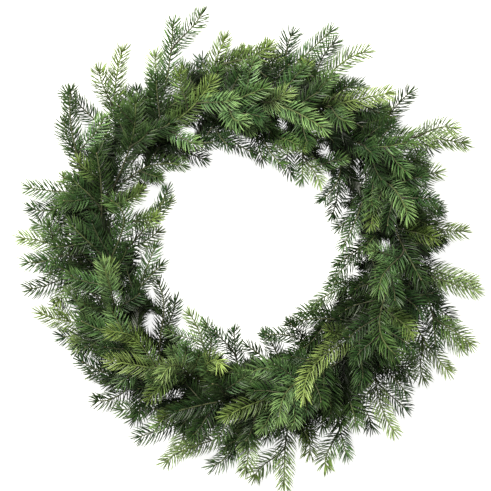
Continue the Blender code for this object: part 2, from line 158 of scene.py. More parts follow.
# Places where the floor shows through the foliage, as (x, y, radius)
WINDOWS = [
    (-0.216, 0.156, 0.014), (-0.096, 0.204, 0.010), (-0.066, 0.168, 0.010), (-0.073, 0.149, 0.010),
    (-0.019, 0.146, 0.010), (0.046, 0.163, 0.010), (0.100, 0.128, 0.011), (0.151, 0.096, 0.011),
    (0.174, 0.010, 0.010), (-0.143, 0.121, 0.011), (-0.152, 0.102, 0.011), (-0.165, 0.079, 0.010),
    (-0.156, 0.036, 0.018), (-0.137, 0.057, 0.012), (-0.171, -0.061, 0.011), (-0.117, -0.105, 0.010),
    (0.227, -0.077, 0.012), (0.112, -0.134, 0.011), (0.253, -0.006, 0.016), (0.141, 0.217, 0.014),
    (0.246, 0.080, 0.012), (0.129, -0.255, 0.014), (-0.045, -0.271, 0.014), (-0.057, -0.252, 0.012),
    (-0.022, 0.130, 0.012), (0.032, -0.115, 0.012), (-0.124, -0.038, 0.010),
]

# Needles: the rows along both sides of a twig, as (how far round it from its top, lean from it, and the
# shares of the usual length and spacing), and the stations along one needle, as (share of its length,
# share of its width)
NEEDLE_ROWS = [
    (92.0, 62.0, 1.00, 1.15),
    (68.0, 56.0, 0.94, 1.35),
    (32.0, 44.0, 0.60, 4.50),
    (128.0, 58.0, 0.88, 2.00),
]
UNDER_ROWS = [(95.0, 52.0, 1.00, 0.55), (50.0, 48.0, 0.80, 0.80)]
NEEDLE_STATIONS = np.array([[0.0, 0.55], [0.30, 1.0], [0.68, 0.9], [1.0, 0.0]])
UNDER_STATIONS = np.array([[0.0, 1.7], [1.0, 0.0]])
NEEDLE_SIZES = {"stem": 1.0, "twig": 1.0, "filler": 0.86, "under": 0.95}
PLACE_SIZES = {"outer": 0.98, "front": 1.0, "inner": 0.82}
NEEDLE_BEND = (1.15, 0.58)
NEEDLE_VARIES = {"step": 0.25, "around": 8.0, "lean": 4.0, "length": 0.08, "roll": 22.0}
NEEDLE_GROWTH = ([0.0, 0.25, 0.75, 1.0], [0.78, 1.0, 1.0, 0.78])
LEAN_GROWTH = ([0.0, 1.0], [1.10, 0.78])
RIDGE_SHARE = 0.36
BARE_START = {"stem": 0.018, "twig": 0.008, "filler": 0.005, "under": 0.002}
BARE_END = 0.0015
TIP_FAN = 7
TIP_STEP = 0.0006
TIP_LEANS = (10.0, 34.0)
TIP_SHARES = (0.66, 0.88)

# Painted shade inside the foliage: how much darker needles are coloured there, by reach and height, how much
# needles and twigs vary, and how high needles lie that meet the table
PAINTED_SHADE_REACHES = ([0.120, 0.150, 0.225, 0.255], [0.0, 1.0, 1.0, 0.0])
PAINTED_SHADE_HEIGHTS = ([0.020, 0.085], [1.0, 0.0])
PAINTED_SHADE_DEPTH = 0.55
NEEDLE_FRESHNESS = 0.08
NEEDLE_SHADES = (0.45, 1.65)
TWIG_SHADES = (0.85, 1.15)
TWIG_BLUENESS = 0.5
TABLE_SOFT = 0.005
TABLE_CLEAR = 0.0008
SEED = 31

# Tints of the twigs: how fresh their needles are at the twig's root and tip, how blue, how pale and how
# bright. The deep and under tints are painted shade: needles coloured near black low inside the foliage.
TINTS = {
    "under": (0.0, 0.0, 0.0, 0.0, 0.16),
    "deep": (0.0, 0.0, 0.10, 0.0, 0.28),
    "dark": (0.0, 0.05, 0.15, 0.0, 0.44),
    "green": (0.04, 0.25, 0.42, 0.07, 0.74),
    "blue": (0.0, 0.34, 0.95, 0.32, 1.08),
    "fresh": (0.08, 0.75, 0.0, 0.15, 0.95),
    "lime": (0.32, 1.0, 0.0, 0.36, 1.18),
    "pale": (0.08, 0.50, 0.30, 0.50, 1.02),
}

# Finishes: the scales of their noise, in features a metre, and the bare steel under the wire's enamel
NEEDLE_MOTTLE = 220.0
NEEDLE_GRAIN = 1600.0
NEEDLE_SPECULAR = 0.25
BARK_SCALES = 900.0
WOOD_GRAIN = 2400.0
WIRE_SCUFFS = 160.0
WIRE_PEEL = 1200.0
STEEL = (0.30, 0.30, 0.29)

# The studio: the middle of the photograph's view, the foliage's middle height, the camera's sensor, the
# floor, and each light as (place, width)
VIEW_MIDDLE = (-0.0019, 0.0057)
FOLIAGE_MIDDLE = 0.04
SENSOR_WIDTH = 36.0
FLOOR_HALF_WIDTH = 3.0
FLOOR_DROP = 0.0002
FLOOR_ROUGHNESS = 0.9
KEY_LIGHT = ((-0.9, 1.2, 2.0), 1.0)
FILL_LIGHT = ((1.6, -0.4, 1.6), 1.6)

# How a cutting lies in its clamp: where round the wire, which way it turns and how steeply it rises
SLOTS = {
    "outer": {"round_wire": 60.0, "turn": 6.0, "rise": 8.0},
    "front": {"round_wire": 0.0, "turn": 0.0, "rise": 30.0},
    "inner": {"round_wire": -60.0, "turn": -16.0, "rise": 10.0},
}

# The cuttings of each bunch, by the angle of its clamp. A cutting is a list of its twigs' tips, the main
# stem first, each as (reach, round, height, lean, tint).
BUNCHES = {
    160: {
        "outer": [
            (0.300, 122, 0.040, 51, "fresh"),
            (0.308, 139, 0.020, 3, "dark"),
            (0.254, 150, 0.012, 50, "dark"),
        ],
        "front": [(0.235, 127, 0.065, 35, "green"), (0.195, 130, 0.085, 70, "dark")],
        "inner": [(0.135, 127, 0.050, 140, "green"), (0.146, 141, 0.025, 180, "fresh")],
    },
    140: {
        "outer": [
            (0.305, 108, 0.035, 22, "green"),
            (0.306, 101, 0.050, 35, "green"),
            (0.277, 115, 0.015, 42, "pale"),
        ],
        "front": [(0.218, 102, 0.080, 40, "fresh"), (0.245, 118, 0.055, 30, "dark")],
        "inner": [(0.145, 100, 0.050, 79, "dark"), (0.128, 115, 0.025, 130, "dark")],
    },
    120: {
        "outer": [
            (0.272, 96, 0.030, 30, "fresh"),
            (0.255, 90, 0.014, 20, "fresh"),
            (0.262, 84, 0.045, 30, "fresh"),
        ],
        "front": [(0.205, 84, 0.090, 60, "green"), (0.162, 92, 0.110, 80, "blue")],
        "inner": [(0.125, 87, 0.040, 110, "dark"), (0.134, 100, 0.065, 140, "dark")],
    },
    100: {
        "outer": [
            (0.300, 69, 0.035, 26, "green"),
            (0.283, 78, 0.025, 32, "dark"),
            (0.262, 84, 0.010, 15, "fresh"),
        ],
        "front": [(0.181, 58, 0.100, 92, "blue"), (0.205, 76, 0.080, 30, "pale")],
        "inner": [(0.117, 68, 0.060, 110, "green"), (0.117, 80, 0.028, 150, "dark")],
    },
    80: {
        "outer": [
            (0.295, 59, 0.040, 50, "fresh"),
            (0.288, 67, 0.020, 35, "green"),
            (0.256, 55, 0.012, 45, "dark"),
        ],
        "front": [
            (0.267, 48, 0.070, 39, "lime"),
            (0.248, 58, 0.055, 24, "dark"),
            (0.205, 52, 0.090, 70, "green"),
        ],
        "inner": [(0.114, 52, 0.040, 146, "green"), (0.126, 43, 0.065, 114, "pale")],
    },
    60: {
        "outer": [
            (0.309, 26, 0.040, 42, "fresh"),
            (0.290, 44, 0.022, 5, "dark"),
            (0.272, 29, 0.014, 50, "dark"),
        ],
        "front": [(0.244, 34, 0.085, 16, "green"), (0.200, 37, 0.100, 70, "dark")],
        "inner": [(0.115, 34, 0.060, 180, "dark"), (0.118, 22, 0.030, 130, "dark")],
    },
    40: {
        "outer": [
            (0.278, 5, 0.030, 0, "fresh"),
            (0.265, 22, 0.015, 27, "pale"),
            (0.250, 12, 0.042, 59, "dark"),
        ],
        "front": [(0.207, 12, 0.090, 88, "blue"), (0.240, 20, 0.060, 40, "green")],
        "inner": [(0.120, 14, 0.035, 170, "dark"), (0.122, 2, 0.060, 120, "green")],
    },
    20: {
        "outer": [
            (0.271, 333, 0.035, 62, "dark"),
            (0.292, 352, 0.022, 3, "pale"),
            (0.309, 337, 0.042, 32, "fresh"),
        ],
        "front": [(0.225, 350, 0.075, 50, "dark"), (0.175, 343, 0.105, 61, "green")],
        "inner": [(0.116, 351, 0.055, 134, "dark"), (0.118, 342, 0.025, 110, "green")],
    },
    0: {
        "outer": [
            (0.300, 329, 0.030, 18, "fresh"),
            (0.281, 324, 0.018, 17, "pale"),
            (0.278, 341, 0.014, 40, "dark"),
        ],
        "front": [(0.230, 325, 0.090, 0, "green"), (0.235, 340, 0.060, 40, "dark")],
        "inner": [(0.111, 322, 0.040, 100, "green"), (0.115, 337, 0.065, 130, "green")],
    },
    340: {
        "outer": [
            (0.299, 309, 0.030, 5, "pale"),
            (0.287, 315, 0.018, 0, "dark"),
            (0.265, 322, 0.012, 30, "green"),
        ],
        "front": [(0.198, 291, 0.095, 22, "lime"), (0.220, 312, 0.070, 40, "dark")],
        "inner": [(0.109, 302, 0.060, 103, "dark"), (0.113, 318, 0.025, 130, "green")],
    },
    320: {
        "outer": [
            (0.290, 296, 0.030, 7, "green"),
            (0.278, 305, 0.018, 35, "dark"),
            (0.294, 290, 0.038, 4, "fresh"),
        ],
        "front": [
            (0.215, 281, 0.110, 10, "blue"),
            (0.156, 272, 0.085, 41, "blue"),
            (0.235, 297, 0.060, 30, "green"),
        ],
        "inner": [(0.112, 283, 0.045, 88, "dark"), (0.107, 300, 0.065, 150, "dark")],
    },
    300: {
        "outer": [
            (0.305, 279, 0.025, 9, "pale"),
            (0.272, 287, 0.040, 34, "fresh"),
            (0.291, 272, 0.015, 20, "fresh"),
        ],
        "front": [(0.212, 263, 0.070, 55, "fresh"), (0.240, 276, 0.050, 30, "dark")],
        "inner": [(0.122, 270, 0.055, 120, "dark"), (0.109, 282, 0.025, 150, "dark")],
    },
    280: {
        "outer": [
            (0.280, 261, 0.025, 65, "green"),
            (0.262, 266, 0.012, 30, "dark"),
            (0.270, 252, 0.040, 50, "pale"),
        ],
        "front": [(0.225, 246, 0.065, 50, "dark"), (0.175, 255, 0.090, 70, "dark")],
        "inner": [(0.105, 261, 0.040, 170, "dark"), (0.112, 248, 0.060, 110, "dark")],
    },
    260: {
        "outer": [
            (0.291, 249, 0.030, 38, "pale"),
            (0.262, 254, 0.012, 20, "dark"),
            (0.277, 240, 0.020, 41, "dark"),
        ],
        "front": [
            (0.190, 236, 0.100, 0, "pale"),
            (0.150, 257, 0.085, -30, "lime"),
            (0.222, 219, 0.075, 52, "lime"),
        ],
        "inner": [(0.107, 240, 0.060, 110, "green"), (0.110, 228, 0.030, 100, "pale")],
    },
    240: {
        "outer": [
            (0.273, 225, 0.022, 58, "dark"),
            (0.255, 214, 0.038, 65, "dark"),
            (0.262, 236, 0.012, 30, "dark"),
        ],
        "front": [(0.200, 211, 0.090, 31, "fresh"), (0.230, 203, 0.060, 50, "green")],
        "inner": [(0.121, 200, 0.045, 81, "dark"), (0.112, 215, 0.022, 130, "dark")],
    },
    220: {
        "outer": [
            (0.276, 197, 0.030, 45, "fresh"),
            (0.262, 205, 0.014, 40, "dark"),
            (0.250, 208, 0.040, 50, "pale"),
        ],
        "front": [(0.182, 186, 0.100, 75, "blue"), (0.218, 192, 0.070, 40, "dark")],
        "inner": [(0.110, 190, 0.055, 150, "dark"), (0.118, 178, 0.025, 110, "green")],
    },
    200: {
        "outer": [
            (0.289, 177, 0.035, 0, "pale"),
            (0.284, 190, 0.022, 13, "dark"),
            (0.265, 183, 0.012, 10, "dark"),
        ],
        "front": [(0.184, 160, 0.080, 5, "green"), (0.225, 172, 0.060, 40, "green")],
        "inner": [(0.127, 143, 0.060, 69, "dark"), (0.116, 168, 0.028, 120, "fresh")],
    },
    180: {
        "outer": [
            (0.303, 138, 0.045, 54, "dark"),
            (0.291, 164, 0.030, 0, "green"),
            (0.282, 169, 0.014, 23, "dark"),
        ],
        "front": [(0.228, 147, 0.065, 45, "dark"), (0.240, 158, 0.050, 20, "green")],
        "inner": [(0.118, 148, 0.035, 90, "fresh"), (0.122, 160, 0.060, 130, "fresh")],
    },
}

# Finer twigs of the photograph that the solids leave out, by the clamp and place of their cutting
FINE_TWIGS = {
    (160, "outer"): [(0.295, 129.5, 0.030, 35, "fresh")],
    (180, "outer"): [(0.287, 145, 0.028, 55, "dark")],
    (200, "outer"): [(0.281, 183, 0.028, 20, "green"), (0.272, 173, 0.018, 10, "green")],
    (260, "outer"): [(0.262, 231.5, 0.022, 45, "green")],
    (280, "outer"): [(0.280, 269.5, 0.030, 20, "pale")],
    (320, "outer"): [(0.245, 293, 0.020, 20, "green"), (0.262, 302, 0.024, 25, "green")],
    (340, "outer"): [(0.272, 318, 0.024, 20, "dark")],
    (60, "outer"): [(0.305, 30.4, 0.050, 50, "pale")],
    (20, "outer"): [(0.298, 350, 0.030, 5, "pale"), (0.303, 335.5, 0.030, 22, "pale")],
    (80, "inner"): [(0.113, 59, 0.035, 100, "dark")],
    (340, "inner"): [(0.106, 310, 0.040, 110, "dark")],
}


def length_prop(name, description, default, least, most):
    return FloatProperty(
        name=name, description=description, default=default, min=least, max=most, unit="LENGTH"
    )


def colour_prop(name, description, default):
    return FloatVectorProperty(
        name=name, description=description, default=default, min=0.0, max=1.0, subtype="COLOR"
    )


def power_prop(name, description, default):
    return FloatProperty(
        name=name, description=description, default=default, min=0.0, max=1000.0, unit="POWER"
    )


def strength_prop(name, description, default):
    return FloatProperty(
        name=name, description=description, default=default, min=0.0, max=4.0, subtype="FACTOR"
    )


class WreathFoliage(bpy.types.PropertyGroup):
    """Sizes of the foliage"""

    needle_length: length_prop("Needle length", "Length of a full-grown needle", 0.0228, 0.005, 0.05)
    needle_width: length_prop("Needle width", "Width of a needle's flat side", 0.00128, 0.0005, 0.004)
    needle_spacing: length_prop(
        "Needle spacing", "Distance along the twig from one needle of a row to the next", 0.0039, 0.002, 0.02
    )
    filler_spacing: length_prop(
        "Side twig spacing", "Distance along a stem from one fine side twig to the next", 0.015, 0.005, 0.1
    )


class WreathColours(bpy.types.PropertyGroup):
    """Colours of the needles, the bark and the wire"""

    deep_green: colour_prop("Deep green", "Colour of old needles", (0.023, 0.060, 0.005))
    blue_green: colour_prop("Blue green", "Colour of the bloom on the bluer twigs", (0.024, 0.095, 0.034))
    fresh_green: colour_prop("Fresh green", "Colour of young needles", (0.108, 0.158, 0.028))
    pale_green: colour_prop(
        "Pale green", "Colour of the needles' ends and of the palest twigs", (0.190, 0.230, 0.100)
    )
    bark_brown: colour_prop("Bark brown", "Colour of the old bark near the cut end", (0.020, 0.016, 0.009))
    bark_green: colour_prop("Bark green", "Colour of the young bark at a twig's tip", (0.030, 0.038, 0.009))
    bud_brown: colour_prop("Bud brown", "Colour of the buds", (0.060, 0.042, 0.016))
    cut_wood: colour_prop("Cut wood", "Colour of the cut ends of the stems", (0.360, 0.270, 0.150))
    wire_green: colour_prop("Wire green", "Colour of the enamel on the wire frame", (0.012, 0.032, 0.014))


class WreathStudio(bpy.types.PropertyGroup):
    """The floor, the lights and the camera"""

    floor_colour: colour_prop("Floor colour", "Colour of the floor", (0.30, 0.30, 0.30))
    floor_glow: strength_prop("Floor glow", "The floor's own light, which keeps it white", 0.92)
    light_colour: colour_prop("Light colour", "Colour of the lights and of the sky", (1.0, 0.99, 0.87))
    key_power: power_prop("Key light", "Power of the large soft light at the upper left", 215.0)
    fill_power: power_prop("Fill light", "Power of the soft light at the right", 7.0)
    sky_strength: strength_prop("Sky strength", "Strength of the even light from all round", 0.12)
    camera_height: length_prop("Camera height", "Height of the camera above the floor", 4.0, 0.5, 20.0)
    view_width: length_prop(
        "View width", "Width that the camera takes in, at the middle of the foliage", 0.627, 0.1, 5.0
    )


def current(group):
    """A group's settings as they are now, in a tuple with their names."""
    settings = getattr(bpy.context.scene, group)
    names = list(settings.__annotations__)
    values = [getattr(settings, name) for name in names]
    plain = [value if isinstance(value, float) else tuple(value) for value in values]
    return collections.namedtuple("Settings", names)(*plain)


def unit(vectors):
    return vectors / np.linalg.norm(vectors, axis=-1, keepdims=True)


def at(reach, degrees, height):
    """The point at this distance from the axis, angle round the wreath and height."""
    angle = math.radians(degrees)
    return np.array([reach * math.cos(angle), reach * math.sin(angle), height])


def heading(degrees, lean):
    """A level direction at this angle round the wreath, turned by lean from outwards to clockwise."""
    return at(1.0, degrees - lean, 0.0)


def bezier(start, leave, arrive, end, count):
    """A cubic curve: the four points weighted by the Bernstein polynomials of the way along."""
    t = np.linspace(0.0, 1.0, count)[:, None]
    early = (1 - t) ** 3 * start + 3 * (1 - t) ** 2 * t * leave
    return early + 3 * (1 - t) * t**2 * arrive + t**3 * end


def lengths(path):
    """The distance along a path at each of its points."""
    return np.concatenate([[0.0], np.cumsum(np.linalg.norm(np.diff(path, axis=0), axis=1))])


def read_path(path, distances):
    along = lengths(path)
    return np.stack([np.interp(distances, along, path[:, axis]) for axis in range(3)], axis=-1)


def places(path, distances):
    """The points, the directions and the upward normals at these distances along a path."""
    ahead = np.minimum(distances + HALF_STEP, lengths(path)[-1])
    behind = np.maximum(distances - HALF_STEP, 0.0)
    tangents = unit(read_path(path, ahead) - read_path(path, behind))
    up = np.array([0.0, 0.0, 1.0])
    normals = unit(up - tangents * (tangents @ up)[:, None])
    return read_path(path, distances), tangents, normals


def segments(points, start_radius, end_radius):
    """A path's stretches as starts, ends and the radius at both ends of each."""
    radii = np.linspace(start_radius, end_radius, len(points))
    return points[:-1], points[1:], np.stack([radii[:-1], radii[1:]], axis=-1)


def joined(groups):
    empty = [tuple(np.zeros((0, width)) for width in (3, 3, 2))]
    return tuple(np.concatenate([group[column] for group in empty + groups]) for column in range(3))


def near(others, own, margin):
    """Those of the other segments that reach into the box round these."""
    starts, ends, radii = others
    low = np.minimum(own[0], own[1]).min(axis=0) - margin
    high = np.maximum(own[0], own[1]).max(axis=0) + margin
    inside = ((np.minimum(starts, ends) < high) & (np.maximum(starts, ends) > low)).all(axis=1)
    return starts[inside], ends[inside], radii[inside]


def gaps(own, others):
    """The clear distance from each tapering segment to the nearest of the others."""
    starts, ends, radii = own
    other_starts, other_ends, other_radii = others
    if len(other_starts) == 0:
        return np.full(len(starts), np.inf)
    first = (ends - starts)[:, None, :]
    second = (other_ends - other_starts)[None, :, :]
    between = starts[:, None, :] - other_starts[None, :, :]
    first_square = (first * first).sum(-1)
    second_square = (second * second).sum(-1)
    product = (first * second).sum(-1)
    first_part = (first * between).sum(-1)
    second_part = (second * between).sum(-1)
    spread = np.maximum(first_square * second_square - product**2, TINY)
    share = np.clip((product * second_part - first_part * second_square) / spread, 0.0, 1.0)
    other_share = np.clip((product * share + second_part) / second_square, 0.0, 1.0)
    share = np.clip((product * other_share - first_part) / first_square, 0.0, 1.0)
    apart = between + share[..., None] * first - other_share[..., None] * second
    radius = radii[:, None, 0] * (1 - share) + radii[:, None, 1] * share
    other_radius = other_radii[None, :, 0] * (1 - other_share) + other_radii[None, :, 1] * other_share
    return (np.linalg.norm(apart, axis=-1) - radius - other_radius).min(axis=1)


def ring_reach(degrees):
    """The distance of the solid ring's middle line, a polygon, from the wreath's axis."""
    half = math.pi / RING_SEGMENTS
    angle = math.radians(degrees) % (2 * half)
    return RING_RADIUS * math.cos(half) / math.cos(angle - half)


def seat(degrees, slot):
    """The middle of a stem that lies in a clamp."""
    angle = math.radians(slot["round_wire"])
    off = WIRE_THICKNESS / 2 + SEAT_GAP + STEM_RADIUS
    height = WIRE_THICKNESS / 2 + off * math.cos(angle)
    return at(ring_reach(degrees) + off * math.sin(angle), degrees, height)


def stem_path(clamp, slot, tip, lift):
    """A main stem: along the ring through its clamp, then one smooth curve to its tip."""
    reach, degrees, height, lean = tip[:4]
    bound = [seat(clamp + turn, slot) for turn in (BOUND_ANGLE, 0.0, -BOUND_ANGLE)]
    start = bound[-1]
    end = at(reach, degrees, max(height + lift, LOWEST_TWIG))
    away = np.linalg.norm(end - start)
    leaving = heading(clamp - BOUND_ANGLE, 90.0 - slot["turn"])
    leaving[2] = math.tan(math.radians(slot["rise"]))
    leave = start + STEM_LEAVE * away * unit(leaving)
    arrive = end - STEM_ARRIVE * away * heading(degrees, lean)
    arrive[2] = max(end[2] - TIP_RISE * away, 2 * LOWEST_TWIG)
    return np.concatenate([bound[:-1], bezier(start, leave, arrive, end, PATH_POINTS)])


def twig_path(stem, tip, lift):
    """A side twig: it leaves its stem forwards and bends to its own tip."""
    reach, degrees, height, lean = tip[:4]
    points, tangents, _ = places(stem, np.array([fork_share(stem, tip) * lengths(stem)[-1]]))
    end = at(reach, degrees, max(height + lift, LOWEST_TWIG))
    away = np.linalg.norm(end - points[0])
    leave = points[0] + TWIG_LEAVE * away * tangents[0]
    arrive = end - TWIG_ARRIVE * away * heading(degrees, lean)
    arrive[2] = max(end[2] - TIP_RISE * away, LOWEST_TWIG)
    return bezier(points[0], leave, arrive, end, PATH_POINTS)


def fork_share(stem, tip):
    """How far along its stem a twig forks off, to set out at about FORK_ANGLE and not be too short."""
    points, tangents, _ = places(stem, FORK_SHARES * lengths(stem)[-1])
    towards = at(*tip[:3]) - points
    away = np.linalg.norm(towards, axis=1)
    angles = np.degrees(np.arccos(np.clip((towards * tangents).sum(axis=1) / away, -1.0, 1.0)))
    too_short = np.maximum(SHORTEST_TWIG - away, 0.0)
    return FORK_SHARES[np.argmin(np.abs(angles - FORK_ANGLE) + DEGREES_PER_METRE * too_short)]


def clearest(tries, room, enough, least=-math.inf):
    """The first path with enough room, or else the one with the most, or None where none has the least."""
    best_path, best_room = None, least
    for path in tries:
        found = room(path)
        if found > best_room:
            best_path, best_room = path, found
        if best_room > enough:
            break
    return best_path


@functools.lru_cache(maxsize=1)
def lay_out():
    """The paths of each cutting's twigs, the main stem first, each bent clear of those before it."""
    wires = frame_segments()
    lifts = [TWIG_STEP * step for step in TWIG_STEPS]
    cuttings = [((clamp, place), tips) for clamp, bunch in BUNCHES.items() for place, tips in bunch.items()]
    paths = {key: [] for key, _ in cuttings}
    laid = []

    def lay(key, tries, skipped):
        others = joined([group for other, group in laid if other != key])

        def room(path):
            own = segments(path, 0.0, 0.0)
            past_clamp = tuple(column[skipped:] for column in own)
            return min(gaps(own, others).min(), gaps(past_clamp, wires).min() + STEM_RADIUS)

        path = clearest(tries, room, TWIG_GAP)
        laid.append((key, segments(path, 0.0, 0.0)))
        paths[key].append(path)

    for (clamp, place), tips in cuttings:
        lay((clamp, place), [stem_path(clamp, SLOTS[place], tips[0], lift) for lift in lifts], PAST_CLAMP)
    for key, tips in cuttings:
        for tip in tips[1:]:
            lay(key, [twig_path(paths[key][0], tip, lift) for lift in lifts], 0)
    return paths


def clamp_points(degrees):
    """A clamp's wire, from one side of the ring over the three stems to its other side."""
    profile = CLAMP_PROFILE + [(-across, up) for across, up in reversed(CLAMP_PROFILE)]
    middle = WIRE_THICKNESS / 2
    return np.array([at(ring_reach(degrees) + across, degrees, middle + up) for across, up in profile])


def frame_segments():
    """The frame as segments, for what grows round it."""
    angles = np.linspace(0.0, 360.0, RING_SEGMENTS + 1)
    ring = np.array([at(RING_RADIUS, degrees, WIRE_THICKNESS / 2) for degrees in angles])
    clamps = [segments(clamp_points(degrees), CLAMP_REACH, CLAMP_REACH) for degrees in BUNCHES]
    return joined([segments(ring, RING_CORNER, RING_CORNER)] + clamps)


class Twig:
    """A twig's path, its cutting's place, its kind (stem, twig, filler or under) and its tint."""

    def __init__(self, path, place, kind, tint):
        self.path = path
        self.place = place
        self.kind = kind
        self.tint = tint
        self.length = lengths(path)[-1]


@functools.lru_cache(maxsize=1)
def all_twigs(spacing):
    """The twigs of every cutting by its clamp and place: the laid out ones, then the fine ones between."""
    twigs = {}
    for (clamp, place), paths in lay_out().items():
        kinds = ["stem"] + ["twig"] * (len(paths) - 1)
        rows = zip(paths, kinds, BUNCHES[clamp][place])
        twigs[clamp, place] = [Twig(path, place, kind, tip[4]) for path, kind, tip in rows]
    obstacles = joined([coarse(twig.path) for row in twigs.values() for twig in row])
    for key, tips in FINE_TWIGS.items():
        stem = twigs[key][0]
        for tip in tips:
            tries = [twig_path(stem.path, tip, TWIG_STEP * step) for step in TWIG_STEPS]
            path = clearest(tries, room_past_start(obstacles, TWIG_GAP), TWIG_GAP)
            obstacles = joined([obstacles, coarse(path)])
            twigs[key].append(Twig(path, stem.place, "twig", tip[4]))
    for number, (key, row) in enumerate(twigs.items()):
        rng = np.random.default_rng([SEED, number])
        parents = list(row)
        for kind, growth in GROWTH.items():
            for parent in parents:
                for path in fillers(parent, spacing, growth, obstacles, rng):
                    obstacles = joined([obstacles, coarse(path)])
                    tint = FILLER_TINTS[rng.integers(len(FILLER_TINTS))]
                    # Under twigs, and fillers whose tips lie low inside the ring, take the near-black tints
                    # that paint shade there
                    if kind == "under":
                        tint = "under"
                    elif lies_in_painted_shade(path[-1]):
                        tint = "deep"
                    row.append(Twig(path, parent.place, kind, tint))
    return twigs


# Whether a tip lies low inside the ring, where a filler takes the deep tint's painted shade
def lies_in_painted_shade(tip):
    low, high = DEEP_SHADE_REACHES
    return tip[2] < DEEP_SHADE_BELOW and low < math.hypot(tip[0], tip[1]) < high


def fillers(parent, parent_spacing, growth, obstacles, rng):
    """The paths of the fine twigs along a twig, to its one side and its other in turn."""
    if parent.kind not in growth["parents"]:
        return []
    spread, size = growth["parents"][parent.kind]
    spacing = spread * parent_spacing
    first = growth["start"] + spacing * rng.uniform(*FILLER_STARTS)
    distances = np.arange(first, parent.length - growth["end"], spacing)
    points, tangents, normals = places(parent.path, distances)
    sides = np.cross(tangents, normals)
    way = rng.choice([-1.0, 1.0])
    made = []
    for point, tangent, side, distance in zip(points, tangents, sides, distances):
        way = -way
        length = size * np.interp(distance, [0.0, parent.length], growth["lengths"])
        angle = math.radians(rng.uniform(*FILLER_ANGLES))
        turned = math.cos(angle) * tangent + math.sin(angle) * way * side
        turned[2] += rng.uniform(*growth["rises"])
        length *= rng.uniform(*FILLER_VARIES)
        path = clear_filler(point, tangent, turned, length, parent.place, growth, obstacles)
        if path is not None:
            made.append(path)
            obstacles = joined([obstacles, coarse(path)])
    return made


def filler_path(point, tangent, turned, length, lift, heights):
    """A fine side twig: it leaves its parent at an angle and bends forwards again."""
    end = point + length * unit(turned)
    end[2] = min(max(end[2] + lift, heights[0]), heights[1])
    leave_share, leave_turn = FILLER_LEAVE
    arrive_share, arrive_turn = FILLER_ARRIVE
    leave = point + length * leave_share * unit(turned + leave_turn * tangent)
    arrive = end - length * arrive_share * unit(turned + arrive_turn * tangent)
    path = bezier(point, leave, arrive, end, FILLER_POINTS)
    path[:, 2] = np.maximum(path[:, 2], min(point[2], heights[0]))
    return path


def clear_filler(point, tangent, turned, length, place, growth, obstacles):
    """The clearest of a fine twig's tries, shortened until its tip is within reach, or None."""
    low, high = growth["reaches"][place]
    while not low < np.linalg.norm((point + length * unit(turned))[:2]) < high:
        length *= FILLER_SHRINK
        if length < FILLER_SHORTEST:
            return None
    heights = growth["heights"]
    tries = [filler_path(point, tangent, turned, length, lift, heights) for lift in FILLER_LIFTS]
    if covers_window(tries[0]):
        return None
    return clearest(tries, room_past_start(obstacles, growth["gap"]), growth["gap"], growth["least_gap"])


def room_past_start(obstacles, margin):
    """A measure of the room that a path has past its first quarter, where it leaves its parent."""

    def room(path):
        own = segments(path[len(path) // 4 :], 0.0, 0.0)
        return gaps(own, near(obstacles, own, margin)).min()

    return room


def covers_window(path):
    """Whether a path passes over one of the places that stay open."""
    windows = np.array(WINDOWS)
    away = np.linalg.norm(path[:, None, :2] - windows[None, :, :2], axis=-1)
    return bool((away < windows[None, :, 2]).any())


def coarse(path):
    """A path as few segments, without thickness."""
    return segments(path[:: max(1, len(path) // COARSE_STRETCHES)], 0.0, 0.0)


class Shape:
    """Parts of one mesh: each has vertices, faces of three or four corners and a value of each name."""

    def __init__(self):
        self.vertices = []
        self.corners = []
        self.sizes = []
        self.slots = []
        self.smooth = []
        self.values = []
        self.count = 0

    def add(self, vertices, faces, slots, smooth, values):
        """Adds vertices, and groups of equal faces, each with its material's place in the list."""
        for group, slot in zip(faces, slots):
            self.corners.append((group + self.count).ravel())
            self.sizes.append(np.full(len(group), group.shape[1]))
            self.slots.append(np.full(len(group), slot))
            self.smooth.append(np.full(len(group), smooth))
        self.vertices.append(vertices)
        count = len(vertices)
        self.values.append({name: np.broadcast_to(value, count) for name, value in values.items()})
        self.count += count

    def to_object(self, name, materials):
        """One object at the origin, with its faces, materials and named values."""
        mesh = bpy.data.meshes.new(name)
        corners = np.concatenate(self.corners)
        sizes = np.concatenate(self.sizes)
        mesh.vertices.add(self.count)
        mesh.vertices.foreach_set("co", np.concatenate(self.vertices).astype(np.float32).ravel())
        mesh.loops.add(len(corners))
        mesh.loops.foreach_set("vertex_index", corners.astype(np.int32))
        mesh.polygons.add(len(sizes))
        mesh.polygons.foreach_set("loop_start", (np.cumsum(sizes) - sizes).astype(np.int32))
        mesh.polygons.foreach_set("material_index", np.concatenate(self.slots).astype(np.int32))
        mesh.polygons.foreach_set("use_smooth", np.concatenate(self.smooth))
        mesh.update(calc_edges=True)
        mesh.validate()
        for value_name in self.values[0]:
            attribute = mesh.attributes.new(value_name, "FLOAT", "POINT")
            values = np.concatenate([part[value_name] for part in self.values])
            attribute.data.foreach_set("value", values.astype(np.float32))
        for material in materials:
            mesh.materials.append(material)
        made = bpy.data.objects.new(name, mesh)
        bpy.context.scene.collection.objects.link(made)
        return made


